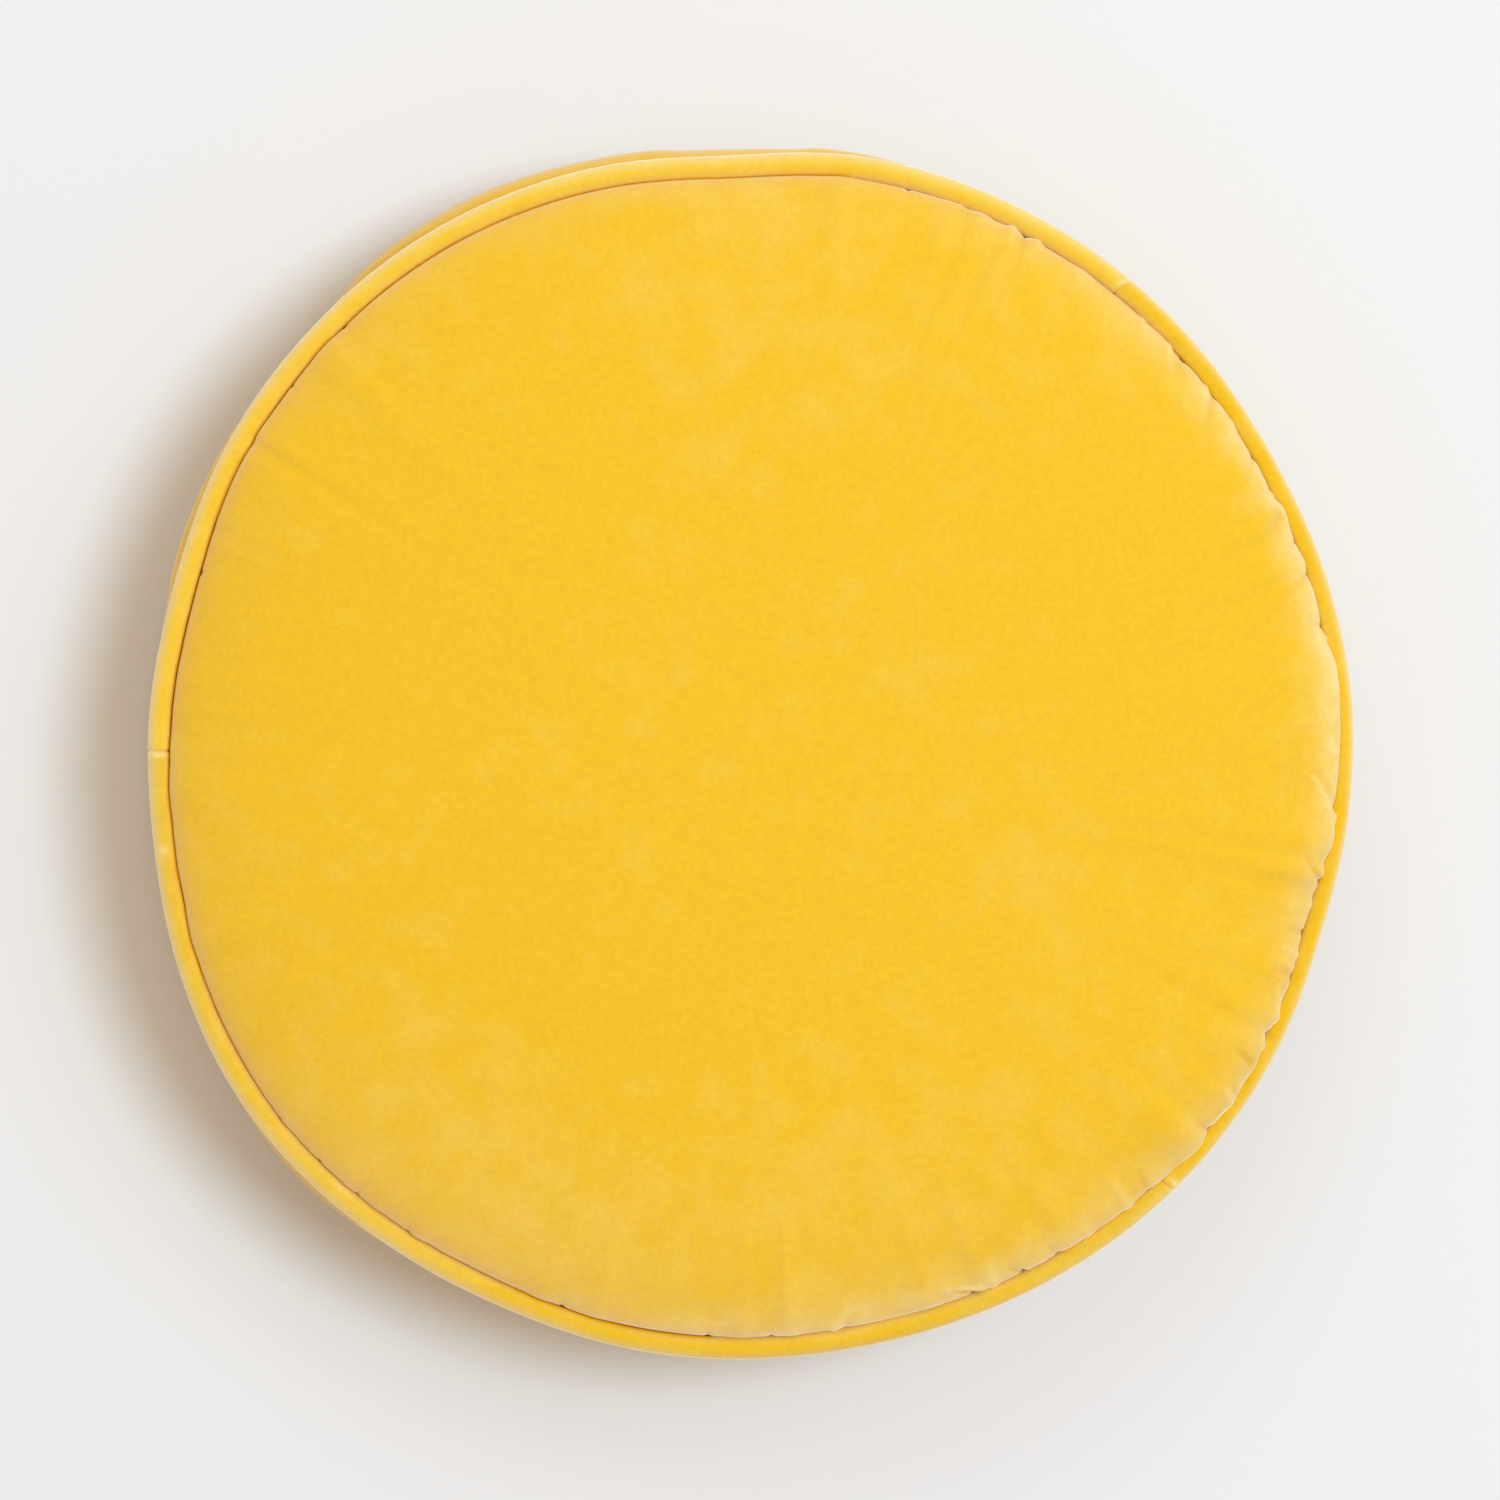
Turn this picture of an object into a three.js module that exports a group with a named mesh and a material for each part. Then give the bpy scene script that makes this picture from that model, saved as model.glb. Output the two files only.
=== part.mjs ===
// A round boxed cushion in yellow velvet, lying on its back.
// Millimetres, +Z up, +X and +Y across the face. The origin is on the surface that the cushion
// rests on, under the middle of its outline. Angles run anticlockwise from +X, seen from above.
import * as THREE from 'three'

// Driving dimensions
const PIPING_THICKNESS = 8
const PIPING_RING_RADIUS = 210.8
const BACK_RING_RADIUS = 209
const BAND_HEIGHT = 60
const BACK_SEAM_HEIGHT = 18
const FRONT_CROWN = 29
const REST_SPOT_RADIUS = 118
const CLEARANCE = 0.3

// How much of the piping's width shows from above where the face lies plainly beside it
const PIPING_SHOWN = 7.8
// How far the side band stands out past the piping's outer edge, where nothing pushes it
const BAND_PROUD = 0.4

// How fully each stretch of the section is rounded out: 2 is an ellipse, more is squarer
const FACE_SQUARENESS = 2.15
const BAND_SQUARENESS = 2.5
const UNDERSIDE_SQUARENESS = 1.9
// Where the band leaves each piping, as an angle of the piping's section from straight outwards
const BAND_TOUCH_DEG = 110

// Angular steps of a full turn, sides of the piping, and points on each stretch of the section
const TURN_STEPS = 144
const PIPING_SIDES = 8
const FACE_POINTS = 11
const NOTCH_POINTS = 5
const BAND_POINTS = 7
const UNDERSIDE_POINTS = 5

const PIPING_RADIUS = PIPING_THICKNESS / 2
const HUG_RADIUS = PIPING_RADIUS + CLEARANCE
const FRONT_SEAM_HEIGHT = BACK_SEAM_HEIGHT + BAND_HEIGHT
const FACE_TOP = FRONT_SEAM_HEIGHT + FRONT_CROWN

// The front seam wanders off a true circle. Each lobe pushes it out by a few millimetres, or in
// where the number is negative, and dies away over its spread in degrees.
const seamLobes = [
  { at: 31, spread: 12, out: -2.1 },
  { at: 60, spread: 24, out: 1.0 },
  { at: 93, spread: 9, out: -3.2 },
  { at: 127, spread: 20, out: 1.6 },
  { at: 165, spread: 13, out: -3.4 },
  { at: 188, spread: 9, out: -2.0 },
  { at: 218, spread: 17, out: 3.5 },
  { at: 258, spread: 12, out: 0.6 },
  { at: 281, spread: 10, out: -1.2 },
  { at: 314, spread: 17, out: 1.7 },
  { at: 344, spread: 8, out: -2.0 },
]

// The same seam also rises and falls a little on the filling.
const heightLobes = [
  { at: 40, spread: 30, out: 1.2 },
  { at: 165, spread: 26, out: 1.8 },
  { at: 240, spread: 24, out: -1.2 },
  { at: 330, spread: 28, out: -1.5 },
]

// Where the filled face puffs out over the piping and hides part of its width
const puffLobes = [
  { at: 8, spread: 22, out: 2.7 },
  { at: 326, spread: 16, out: 2.3 },
]

// Where the side band bellies out past the piping
const bandLobes = [
  { at: 114, spread: 23, out: 4.6 },
  { at: 159, spread: 13, out: 2.4 },
  { at: 224, spread: 16, out: 3.8 },
]

// Puckers that the seam draws into the face: where each starts, how wide and deep it is, how far
// in from the seam it reaches, and how many degrees it slants on its way in
const puckers = [
  { at: 59, spread: 2.6, depth: 1.6, reach: 26, slant: -2 },
  { at: 46, spread: 3.2, depth: 1.8, reach: 38, slant: 3 },
  { at: 37, spread: 3.2, depth: 1.9, reach: 46, slant: 4 },
  { at: 24, spread: 2.8, depth: 1.7, reach: 26, slant: 1 },
  { at: 12, spread: 2.8, depth: 2.0, reach: 24, slant: 1 },
  { at: 354, spread: 3.0, depth: 1.9, reach: 40, slant: 4 },
  { at: 346, spread: 3.0, depth: 2.1, reach: 48, slant: 5 },
  { at: 335, spread: 3.0, depth: 2.2, reach: 42, slant: -3 },
  { at: 319, spread: 2.8, depth: 1.7, reach: 30, slant: 2 },
  { at: 307, spread: 2.8, depth: 1.5, reach: 28, slant: -2 },
  { at: 294, spread: 3.0, depth: 2.1, reach: 44, slant: 4 },
  { at: 284, spread: 3.0, depth: 2.0, reach: 40, slant: 3 },
  { at: 268, spread: 2.6, depth: 1.4, reach: 22, slant: 0 },
  { at: 252, spread: 2.6, depth: 1.3, reach: 22, slant: 0 },
  { at: 230, spread: 2.6, depth: 1.1, reach: 18, slant: 0 },
  { at: 133, spread: 2.6, depth: 1.6, reach: 24, slant: 2 },
]

// Where one strip of the front piping is joined to the next
const pipingJoins = [51, 180, 314.5]

const radians = THREE.MathUtils.degToRad
const bell = (x) => Math.exp(-x * x)

// Shortest signed turn from one angle to another, in degrees
const turnBetween = (from, to) => THREE.MathUtils.euclideanModulo(to - from + 180, 360) - 180

function lobeSum(lobes, deg) {
  return lobes.reduce((sum, lobe) => {
    return sum + lobe.out * bell(turnBetween(lobe.at, deg) / lobe.spread)
  }, 0)
}

const frontRingRadius = (deg) => PIPING_RING_RADIUS + lobeSum(seamLobes, deg)
const frontRingHeight = (deg) => FRONT_SEAM_HEIGHT + lobeSum(heightLobes, deg)

function puckerDepth(deg, inward) {
  return puckers.reduce((sum, pucker) => {
    const along = inward / pucker.reach
    if (along >= 1) return sum
    const centre = pucker.at + pucker.slant * along
    const fade = (1 - along) * (1 - along)
    return sum + pucker.depth * fade * bell(turnBetween(centre, deg) / pucker.spread)
  }, 0)
}

// A quarter of a rounded box, from (1, 0) to (0, 1). A higher squareness fills its corner more.
function roundedQuarter(fraction, squareness) {
  const angle = (fraction * Math.PI) / 2
  return {
    across: Math.cos(angle) ** (2 / squareness),
    up: Math.sin(angle) ** (2 / squareness),
  }
}

// The outline of the body where it lies round a piping, between two angles of the piping's section
function notch(ringRadius, ringHeight, fromDeg, toDeg) {
  return Array.from({ length: NOTCH_POINTS }, (_, i) => {
    const angle = radians(fromDeg + ((toDeg - fromDeg) * i) / (NOTCH_POINTS - 1))
    const across = ringRadius + HUG_RADIUS * Math.cos(angle)
    return new THREE.Vector2(across, ringHeight + HUG_RADIUS * Math.sin(angle))
  })
}

// Angle of the piping's section at which the face leaves it, for the width that is to show
function faceTouchDeg(shown) {
  return THREE.MathUtils.radToDeg(Math.acos((PIPING_RADIUS - shown) / HUG_RADIUS))
}

// The underside: flat where it rests, then rolling up to the back seam
function undersidePoints(rim) {
  const points = [new THREE.Vector2(0, 0)]
  for (let i = 0; i < UNDERSIDE_POINTS; i++) {
    const { across, up } = roundedQuarter(1 - i / UNDERSIDE_POINTS, UNDERSIDE_SQUARENESS)
    const radius = REST_SPOT_RADIUS + (rim.x - REST_SPOT_RADIUS) * across
    points.push(new THREE.Vector2(radius, rim.y * (1 - up)))
  }
  return points
}

// The side band between the two pipings, bellying out past them
function bandPoints(low, high, belly) {
  return Array.from({ length: BAND_POINTS }, (_, i) => {
    const side = (2 * (i + 1)) / (BAND_POINTS + 1) - 1
    const { across, up } = roundedQuarter(Math.abs(side), BAND_SQUARENESS)
    const middle = (low.y + high.y) / 2
    const half = (high.y - low.y) / 2
    const edge = side < 0 ? low.x : high.x
    const radius = edge + (belly - edge) * across
    return new THREE.Vector2(radius, middle + Math.sign(side) * half * up)
  })
}

// The crowned face, from the front seam to the middle
function facePoints(deg, rim) {
  const points = []
  for (let i = 1; i <= FACE_POINTS; i++) {
    const { across, up } = roundedQuarter(i / FACE_POINTS, FACE_SQUARENESS)
    const radius = rim.x * across
    const height = rim.y + (FACE_TOP - rim.y) * up
    points.push(new THREE.Vector2(radius, height - puckerDepth(deg, rim.x - radius)))
  }
  return points
}

// Half the section of the filled body at one angle, from the middle of the underside, round the
// outside and up to the middle of the face
function bodySection(deg) {
  const ringRadius = frontRingRadius(deg)
  const ringHeight = frontRingHeight(deg)
  const frontTouch = faceTouchDeg(PIPING_SHOWN - lobeSum(puffLobes, deg))
  const backTouch = 360 - faceTouchDeg(PIPING_SHOWN)
  const backNotch = notch(BACK_RING_RADIUS, BACK_SEAM_HEIGHT, backTouch, BAND_TOUCH_DEG)
  const frontNotch = notch(ringRadius, ringHeight, 360 - BAND_TOUCH_DEG, frontTouch)
  const belly = ringRadius + PIPING_RADIUS + BAND_PROUD + lobeSum(bandLobes, deg)
  return [
    ...undersidePoints(backNotch[0]),
    ...backNotch,
    ...bandPoints(backNotch.at(-1), frontNotch[0], belly),
    ...frontNotch,
    ...facePoints(deg, frontNotch.at(-1)),
  ]
}

// The filled body is turned like a vase, and each point then moves to the section of its angle
function cushionBodyGeometry() {
  const geometry = new THREE.LatheGeometry(bodySection(0), TURN_STEPS)
  const position = geometry.getAttribute('position')
  const perSection = bodySection(0).length
  for (let step = 0; step <= TURN_STEPS; step++) {
    const deg = ((step % TURN_STEPS) * 360) / TURN_STEPS
    bodySection(deg).forEach((point, i) => {
      const x = point.x * Math.cos(radians(deg))
      const y = point.x * Math.sin(radians(deg))
      position.setXYZ(step * perSection + i, x, y, point.y)
    })
  }
  return geometry
}

// The middle line of the piping in the front seam, between two angles
class FrontSeamLine extends THREE.Curve {
  constructor(fromDeg, toDeg) {
    super()
    this.fromDeg = fromDeg
    this.toDeg = toDeg
  }

  getPoint(t, target = new THREE.Vector3()) {
    const deg = THREE.MathUtils.lerp(this.fromDeg, this.toDeg, t)
    const radius = frontRingRadius(deg)
    const angle = radians(deg)
    return target.set(radius * Math.cos(angle), radius * Math.sin(angle), frontRingHeight(deg))
  }
}

function pipingSection() {
  const corners = Array.from({ length: PIPING_SIDES }, (_, i) => {
    const angle = ((i + 0.5) * 2 * Math.PI) / PIPING_SIDES
    return new THREE.Vector2(PIPING_RADIUS * Math.cos(angle), PIPING_RADIUS * Math.sin(angle))
  })
  return new THREE.Shape(corners)
}

// One strip of covered cord between two joins, a hair short at each end so that strips don't meet
function pipingStripGeometry(fromDeg, toDeg) {
  const shortBy = THREE.MathUtils.radToDeg(CLEARANCE / 2 / PIPING_RING_RADIUS)
  const line = new FrontSeamLine(fromDeg + shortBy, toDeg - shortBy)
  const steps = Math.round(((toDeg - fromDeg) * TURN_STEPS) / 360)
  return new THREE.ExtrudeGeometry(pipingSection(), { steps, extrudePath: line })
}

const velvet = new THREE.MeshStandardMaterial({ color: 0xf5c030, roughness: 0.9, metalness: 0 })
const pipingVelvet = new THREE.MeshStandardMaterial({ color: 0xf2b828, roughness: 0.9, metalness: 0 })

function mesh(name, geometry, material) {
  const piece = new THREE.Mesh(geometry, material)
  piece.name = name
  return piece
}

const cushion = new THREE.Group()
cushion.add(mesh('cushion_body', cushionBodyGeometry(), velvet))

pipingJoins.forEach((join, i) => {
  const next = i + 1 < pipingJoins.length ? pipingJoins[i + 1] : pipingJoins[0] + 360
  const strip = pipingStripGeometry(join, next)
  cushion.add(mesh(`piping_front_${i + 1}`, strip, pipingVelvet))
})

const backPiping = mesh(
  'piping_back',
  new THREE.TorusGeometry(BACK_RING_RADIUS, PIPING_RADIUS, PIPING_SIDES, TURN_STEPS),
  pipingVelvet,
)
backPiping.position.z = BACK_SEAM_HEIGHT
cushion.add(backPiping)

export default cushion
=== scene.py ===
# A round boxed cushion in yellow velvet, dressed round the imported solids.
# The tables give lengths in millimetres, and MM brings them to metres. Angles are in degrees,
# anticlockwise from +X, seen from above. An angle of a piping's section is counted from straight
# outwards over its top.
import math
from collections import namedtuple

import bmesh
import bpy
from mathutils import Matrix, Vector, noise


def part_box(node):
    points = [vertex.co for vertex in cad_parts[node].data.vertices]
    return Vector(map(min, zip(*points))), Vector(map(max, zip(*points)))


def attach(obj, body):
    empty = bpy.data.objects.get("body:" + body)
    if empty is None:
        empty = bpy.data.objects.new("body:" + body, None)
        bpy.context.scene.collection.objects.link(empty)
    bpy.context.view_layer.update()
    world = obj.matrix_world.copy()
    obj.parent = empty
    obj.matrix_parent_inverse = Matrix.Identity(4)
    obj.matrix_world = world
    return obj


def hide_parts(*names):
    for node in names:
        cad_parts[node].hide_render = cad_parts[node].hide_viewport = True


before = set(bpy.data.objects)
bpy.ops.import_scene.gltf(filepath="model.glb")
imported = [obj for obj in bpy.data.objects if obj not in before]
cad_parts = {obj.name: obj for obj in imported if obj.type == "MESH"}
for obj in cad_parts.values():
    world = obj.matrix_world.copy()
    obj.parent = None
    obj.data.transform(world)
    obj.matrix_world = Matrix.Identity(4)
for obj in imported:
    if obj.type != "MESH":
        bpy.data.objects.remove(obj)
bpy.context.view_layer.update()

MM = 0.001
TINY = 0.01 * MM

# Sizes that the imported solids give
FACE_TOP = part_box("cushion_body")[1].z
back_low, back_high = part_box("piping_back")
PIPING_RADIUS = (back_high.z - back_low.z) / 2
BACK_SEAM_HEIGHT = (back_high.z + back_low.z) / 2
BACK_RING_RADIUS = (back_high.x - back_low.x) / 2 - PIPING_RADIUS

# Sizes repeated from the part's source
FRONT_RING_RADIUS = 210.8 * MM
BAND_HEIGHT = 60 * MM
FRONT_SEAM_HEIGHT = BACK_SEAM_HEIGHT + BAND_HEIGHT
REST_SPOT_RADIUS = 118 * MM
# How far the band stands out past the piping
BAND_PROUD = 0.4 * MM
# How close the cloth lies round the piping
CLOTH_GAP = 0.1 * MM
# How much of the piping's width shows from above, where the face lies plainly beside it
PIPING_SHOWN = 8.1 * MM
# The furthest round the piping that the face can lap, as the cosine of the section's angle
LEAST_TOUCH_COSINE = -0.98
# The share of its notch at which the cloth starts to stand clear of the piping
SLOT_START = 0.3

# How fully each stretch of the section is rounded out: 2 is an ellipse, more is squarer
FACE_SQUARENESS = 2.2
BAND_SQUARENESS = 2.5
UNDERSIDE_SQUARENESS = 1.9
# Where the band leaves each piping, as an angle of the piping's section
BAND_TOUCH = 110

# Columns round the middle of the body, and how many parts each is cut in beyond some radius. The
# last cut is only for the face and its seam, where the folds are.
MIDDLE_COLUMNS = 50
COLUMN_CUTS = [(25 * MM, 3), (80 * MM, 2)]
CLOTH_COLUMNS = MIDDLE_COLUMNS * math.prod(parts for _, parts in COLUMN_CUTS)
RIM_CUT_BEYOND = 160 * MM
RIM_CUT_PARTS = 2
RIM_COLUMNS = CLOTH_COLUMNS * RIM_CUT_PARTS
# Points on each stretch of the body's section, before subdivision
FACE_POINTS = 30
NOTCH_POINTS = 6
BAND_POINTS = 9
UNDERSIDE_POINTS = 7
# The ring of points inside the flat spot
REST_SPOT_MIDDLE = 60 * MM
# How much closer together the face's points stand at the seam than at the middle
FACE_CROWDING = 0.45

# Degrees that a column of piping takes as it is turned, and how many parts it is cut in
PIPING_COLUMN = 4.5
PIPING_CUTS = 15
# How far the columns crowd towards the ends of a strip
PIPING_CROWDING = 0.75
# The sides of the piping's section
PIPING_SIDES = 24
# The section's points on the side that shows stand before the crease, and crowd at it. Its sheen
# ends at the first of these two points, and the band hides it from the second on.
SHEEN_END_POINT = 10
CREASE_POINT = 12
BAND_POINT = 18
# Degrees of the section from the end of the sheen to the crease
SHEEN_END_TURN = 25
# The crease lies within this many degrees of where the cloth leaves the piping.
CREASE_TURN = 8
# Shade is painted on the front piping towards its creases over this many degrees.
CREASE_SHADE_TURN = 24
# How many spreads off its middle a hook, a fold and a patch still count
HOOK_ENDS = 3
FOLD_ENDS = 2.5
PATCH_ENDS = 4

Lobe = namedtuple("Lobe", "at spread out")
Hook = namedtuple("Hook", "at before after out")
Pucker = namedtuple("Pucker", "at spread depth reach slant")
Fold = namedtuple("Fold", "at inside to_at to_inside width depth pale")
Patch = namedtuple("Patch", "at inside along across lean pale")
Join = namedtuple("Join", "at slant")

# The front seam wanders off a true circle. Each lobe pushes it out by so many millimetres, or in
# where the number is negative, and dies away over its spread in degrees.
SEAM_LOBES = [
    Lobe(at=5, spread=6, out=0.5),
    Lobe(at=31, spread=12, out=-1.4),
    Lobe(at=60, spread=24, out=0.65),
    Lobe(at=92, spread=9, out=-3.1),
    Lobe(at=104, spread=16, out=-1.0),
    Lobe(at=122, spread=17, out=1.4),
    Lobe(at=165, spread=13, out=-3.3),
    Lobe(at=186, spread=12, out=-2.4),
    Lobe(at=218, spread=17, out=3.0),
    Lobe(at=232, spread=22, out=-0.5),
    Lobe(at=246, spread=8, out=-0.35),
    Lobe(at=258, spread=12, out=0.6),
    Lobe(at=281, spread=10, out=-0.4),
    Lobe(at=316, spread=21, out=2.5),
    Lobe(at=343, spread=8, out=-1.4),
]

# The same seam also rises and falls a little on the filling.
HEIGHT_LOBES = [
    Lobe(at=40, spread=30, out=1.2),
    Lobe(at=165, spread=26, out=1.8),
    Lobe(at=240, spread=24, out=-1.2),
    Lobe(at=330, spread=28, out=-1.5),
]

# Where the covered cord is a little thicker
CORD_LOBES = [
    Lobe(at=80, spread=36, out=0.22),
    Lobe(at=209, spread=7, out=0.12),
    Lobe(at=228, spread=24, out=0.28),
    Lobe(at=241, spread=6, out=0.2),
    Lobe(at=280, spread=20, out=0.18),
]

# Where the filled face puffs out over the piping and hides part of its width
PUFF_LOBES = [
    Lobe(at=3, spread=10, out=2.5),
    Lobe(at=28, spread=18, out=1.0),
    Lobe(at=152, spread=6, out=0.6),
    Lobe(at=192, spread=16, out=0.6),
    Lobe(at=301, spread=5, out=0.4),
    Lobe(at=324, spread=15, out=2.4),
]

# The same edge is drawn in small scallops between its stitches. Each hook laps over the piping by
# so many millimetres, and falls off over so many degrees before and after it. A row gives at,
# before, after and out.
HOOKS = [
    Hook(8.4, 3.2, 2.0, 1.4),
    Hook(12.4, 1.2, 1.4, -0.6),
    Hook(16.2, 1.4, 1.0, 0.5),
    Hook(19.3, 0.8, 0.8, 1.0),
    Hook(24.9, 2.2, 0.7, 1.7),
    Hook(26.4, 0.4, 0.9, -0.5),
    Hook(30.0, 1.3, 0.5, 0.5),
    Hook(36.3, 2.4, 1.6, 0.9),
    Hook(40.6, 1.4, 1.1, 0.5),
    Hook(43.7, 0.8, 0.5, -0.4),
    Hook(45.3, 0.9, 1.2, 0.4),
    Hook(55.5, 1.0, 0.8, 0.5),
    Hook(60.9, 0.6, 0.6, 0.7),
    Hook(63.6, 0.7, 0.5, 0.9),
    Hook(66.8, 1.1, 0.9, 0.8),
    Hook(69.4, 0.4, 2.0, 0.6),
    Hook(74.4, 0.8, 0.6, -0.3),
    Hook(80.8, 1.5, 1.5, 0.5),
    Hook(95.0, 3.0, 4.0, 0.2),
    Hook(124.6, 1.0, 0.5, -0.2),
    Hook(133.7, 0.8, 0.5, -0.15),
    Hook(135.6, 0.7, 3.0, 0.5),
    Hook(147.0, 2.0, 0.4, 0.3),
    Hook(147.8, 0.4, 0.5, -0.3),
    Hook(161.4, 0.7, 0.5, -0.3),
    Hook(177.2, 1.8, 0.5, -0.3),
    Hook(183.6, 2.4, 1.8, 0.4),
    Hook(194.0, 1.8, 1.8, -0.35),
    Hook(198.2, 1.8, 1.4, 0.3),
    Hook(217.7, 0.6, 0.9, 0.5),
    Hook(226.6, 1.0, 0.7, 0.3),
    Hook(230.2, 0.9, 0.7, 0.3),
    Hook(234.9, 0.7, 1.4, 0.6),
    Hook(238.2, 0.7, 0.8, 0.3),
    Hook(248.8, 1.4, 1.0, 0.4),
    Hook(251.1, 0.4, 0.4, -0.3),
    Hook(254.0, 2.0, 2.0, 0.3),
    Hook(265.8, 0.5, 0.4, -0.5),
    Hook(269.2, 1.2, 0.8, 0.4),
    Hook(272.0, 0.8, 0.4, -0.3),
    Hook(273.6, 0.6, 1.2, 0.5),
    Hook(288.0, 2.0, 1.0, 0.3),
    Hook(293.9, 0.8, 1.6, 0.4),
    Hook(301.4, 1.0, 0.6, -0.3),
    Hook(303.2, 0.6, 2.0, 0.3),
    Hook(308.0, 1.2, 0.8, 0.3),
    Hook(311.4, 1.0, 0.8, -0.4),
    Hook(318.8, 2.2, 1.0, 1.4),
    Hook(320.8, 0.6, 0.5, -0.6),
    Hook(324.4, 2.0, 1.2, 1.1),
    Hook(328.2, 1.2, 1.3, 1.0),
    Hook(331.4, 0.6, 0.5, -1.1),
    Hook(333.5, 0.8, 1.0, 0.8),
    Hook(337.5, 1.2, 1.6, 0.9),
    Hook(341.8, 1.2, 1.2, -0.2),
    Hook(344.6, 0.8, 0.5, 0.3),
    Hook(348.2, 1.2, 0.7, 2.3),
    Hook(351.4, 1.6, 2.5, 2.6),
]

# The edge also wavers a little from stitch to stitch
WAVER = 0.14 * MM
WAVER_LENGTH = 5 * MM

# Where the piping stands clear of the face, so that the crease between them is a dark slot, or
# presses into it where the number is negative, so that the crease is shallow
SLOT_LOBES = [
    Lobe(at=92, spread=40, out=-0.32),
    Lobe(at=166, spread=24, out=0.05),
    Lobe(at=225, spread=22, out=-0.3),
    Lobe(at=256, spread=8, out=0.15),
    Lobe(at=286, spread=16, out=-0.3),
]
# In these stretches the crease keeps the velvet's sheen, from one angle to another; elsewhere it
# takes a copy without sheen, as painted shade
SHEENED_CREASES = [(45, 80), (202, 246), (266, 302)]

# Where the side band bellies out past the piping
BAND_LOBES = [
    Lobe(at=78, spread=10, out=1.3),
    Lobe(at=94, spread=12, out=4.2),
    Lobe(at=116, spread=13, out=4.4),
    Lobe(at=128, spread=6, out=1.2),
    Lobe(at=160, spread=12, out=2.5),
    Lobe(at=225, spread=14, out=3.3),
]

# Puckers that the seam draws into the face: where each starts, how wide and deep it is, how far
# in from the seam it reaches, and how many degrees it slants on its way in. A row gives at,
# spread, depth, reach and slant.
PUCKERS = [
    Pucker(59, 2.6, 0.9, 26, -2),
    Pucker(46, 3.2, 1.0, 38, -3),
    Pucker(37, 3.2, 1.0, 42, -4),
    Pucker(24, 2.8, 1.0, 26, -1),
    Pucker(12, 2.8, 1.2, 24, 1),
    Pucker(354, 3.0, 1.0, 36, 5),
    Pucker(346, 3.0, 1.4, 40, 5),
    Pucker(335, 3.0, 1.3, 36, 3),
    Pucker(319, 2.8, 1.2, 30, 2),
    Pucker(307, 2.8, 0.9, 28, 1),
    Pucker(294, 3.0, 1.2, 34, -3),
    Pucker(284, 3.0, 1.0, 32, 3),
    Pucker(268, 2.6, 0.8, 22, 0),
    Pucker(252, 2.6, 0.7, 22, 0),
    Pucker(230, 2.6, 0.5, 18, 0),
    Pucker(133, 2.6, 0.6, 18, 2),
]
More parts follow.
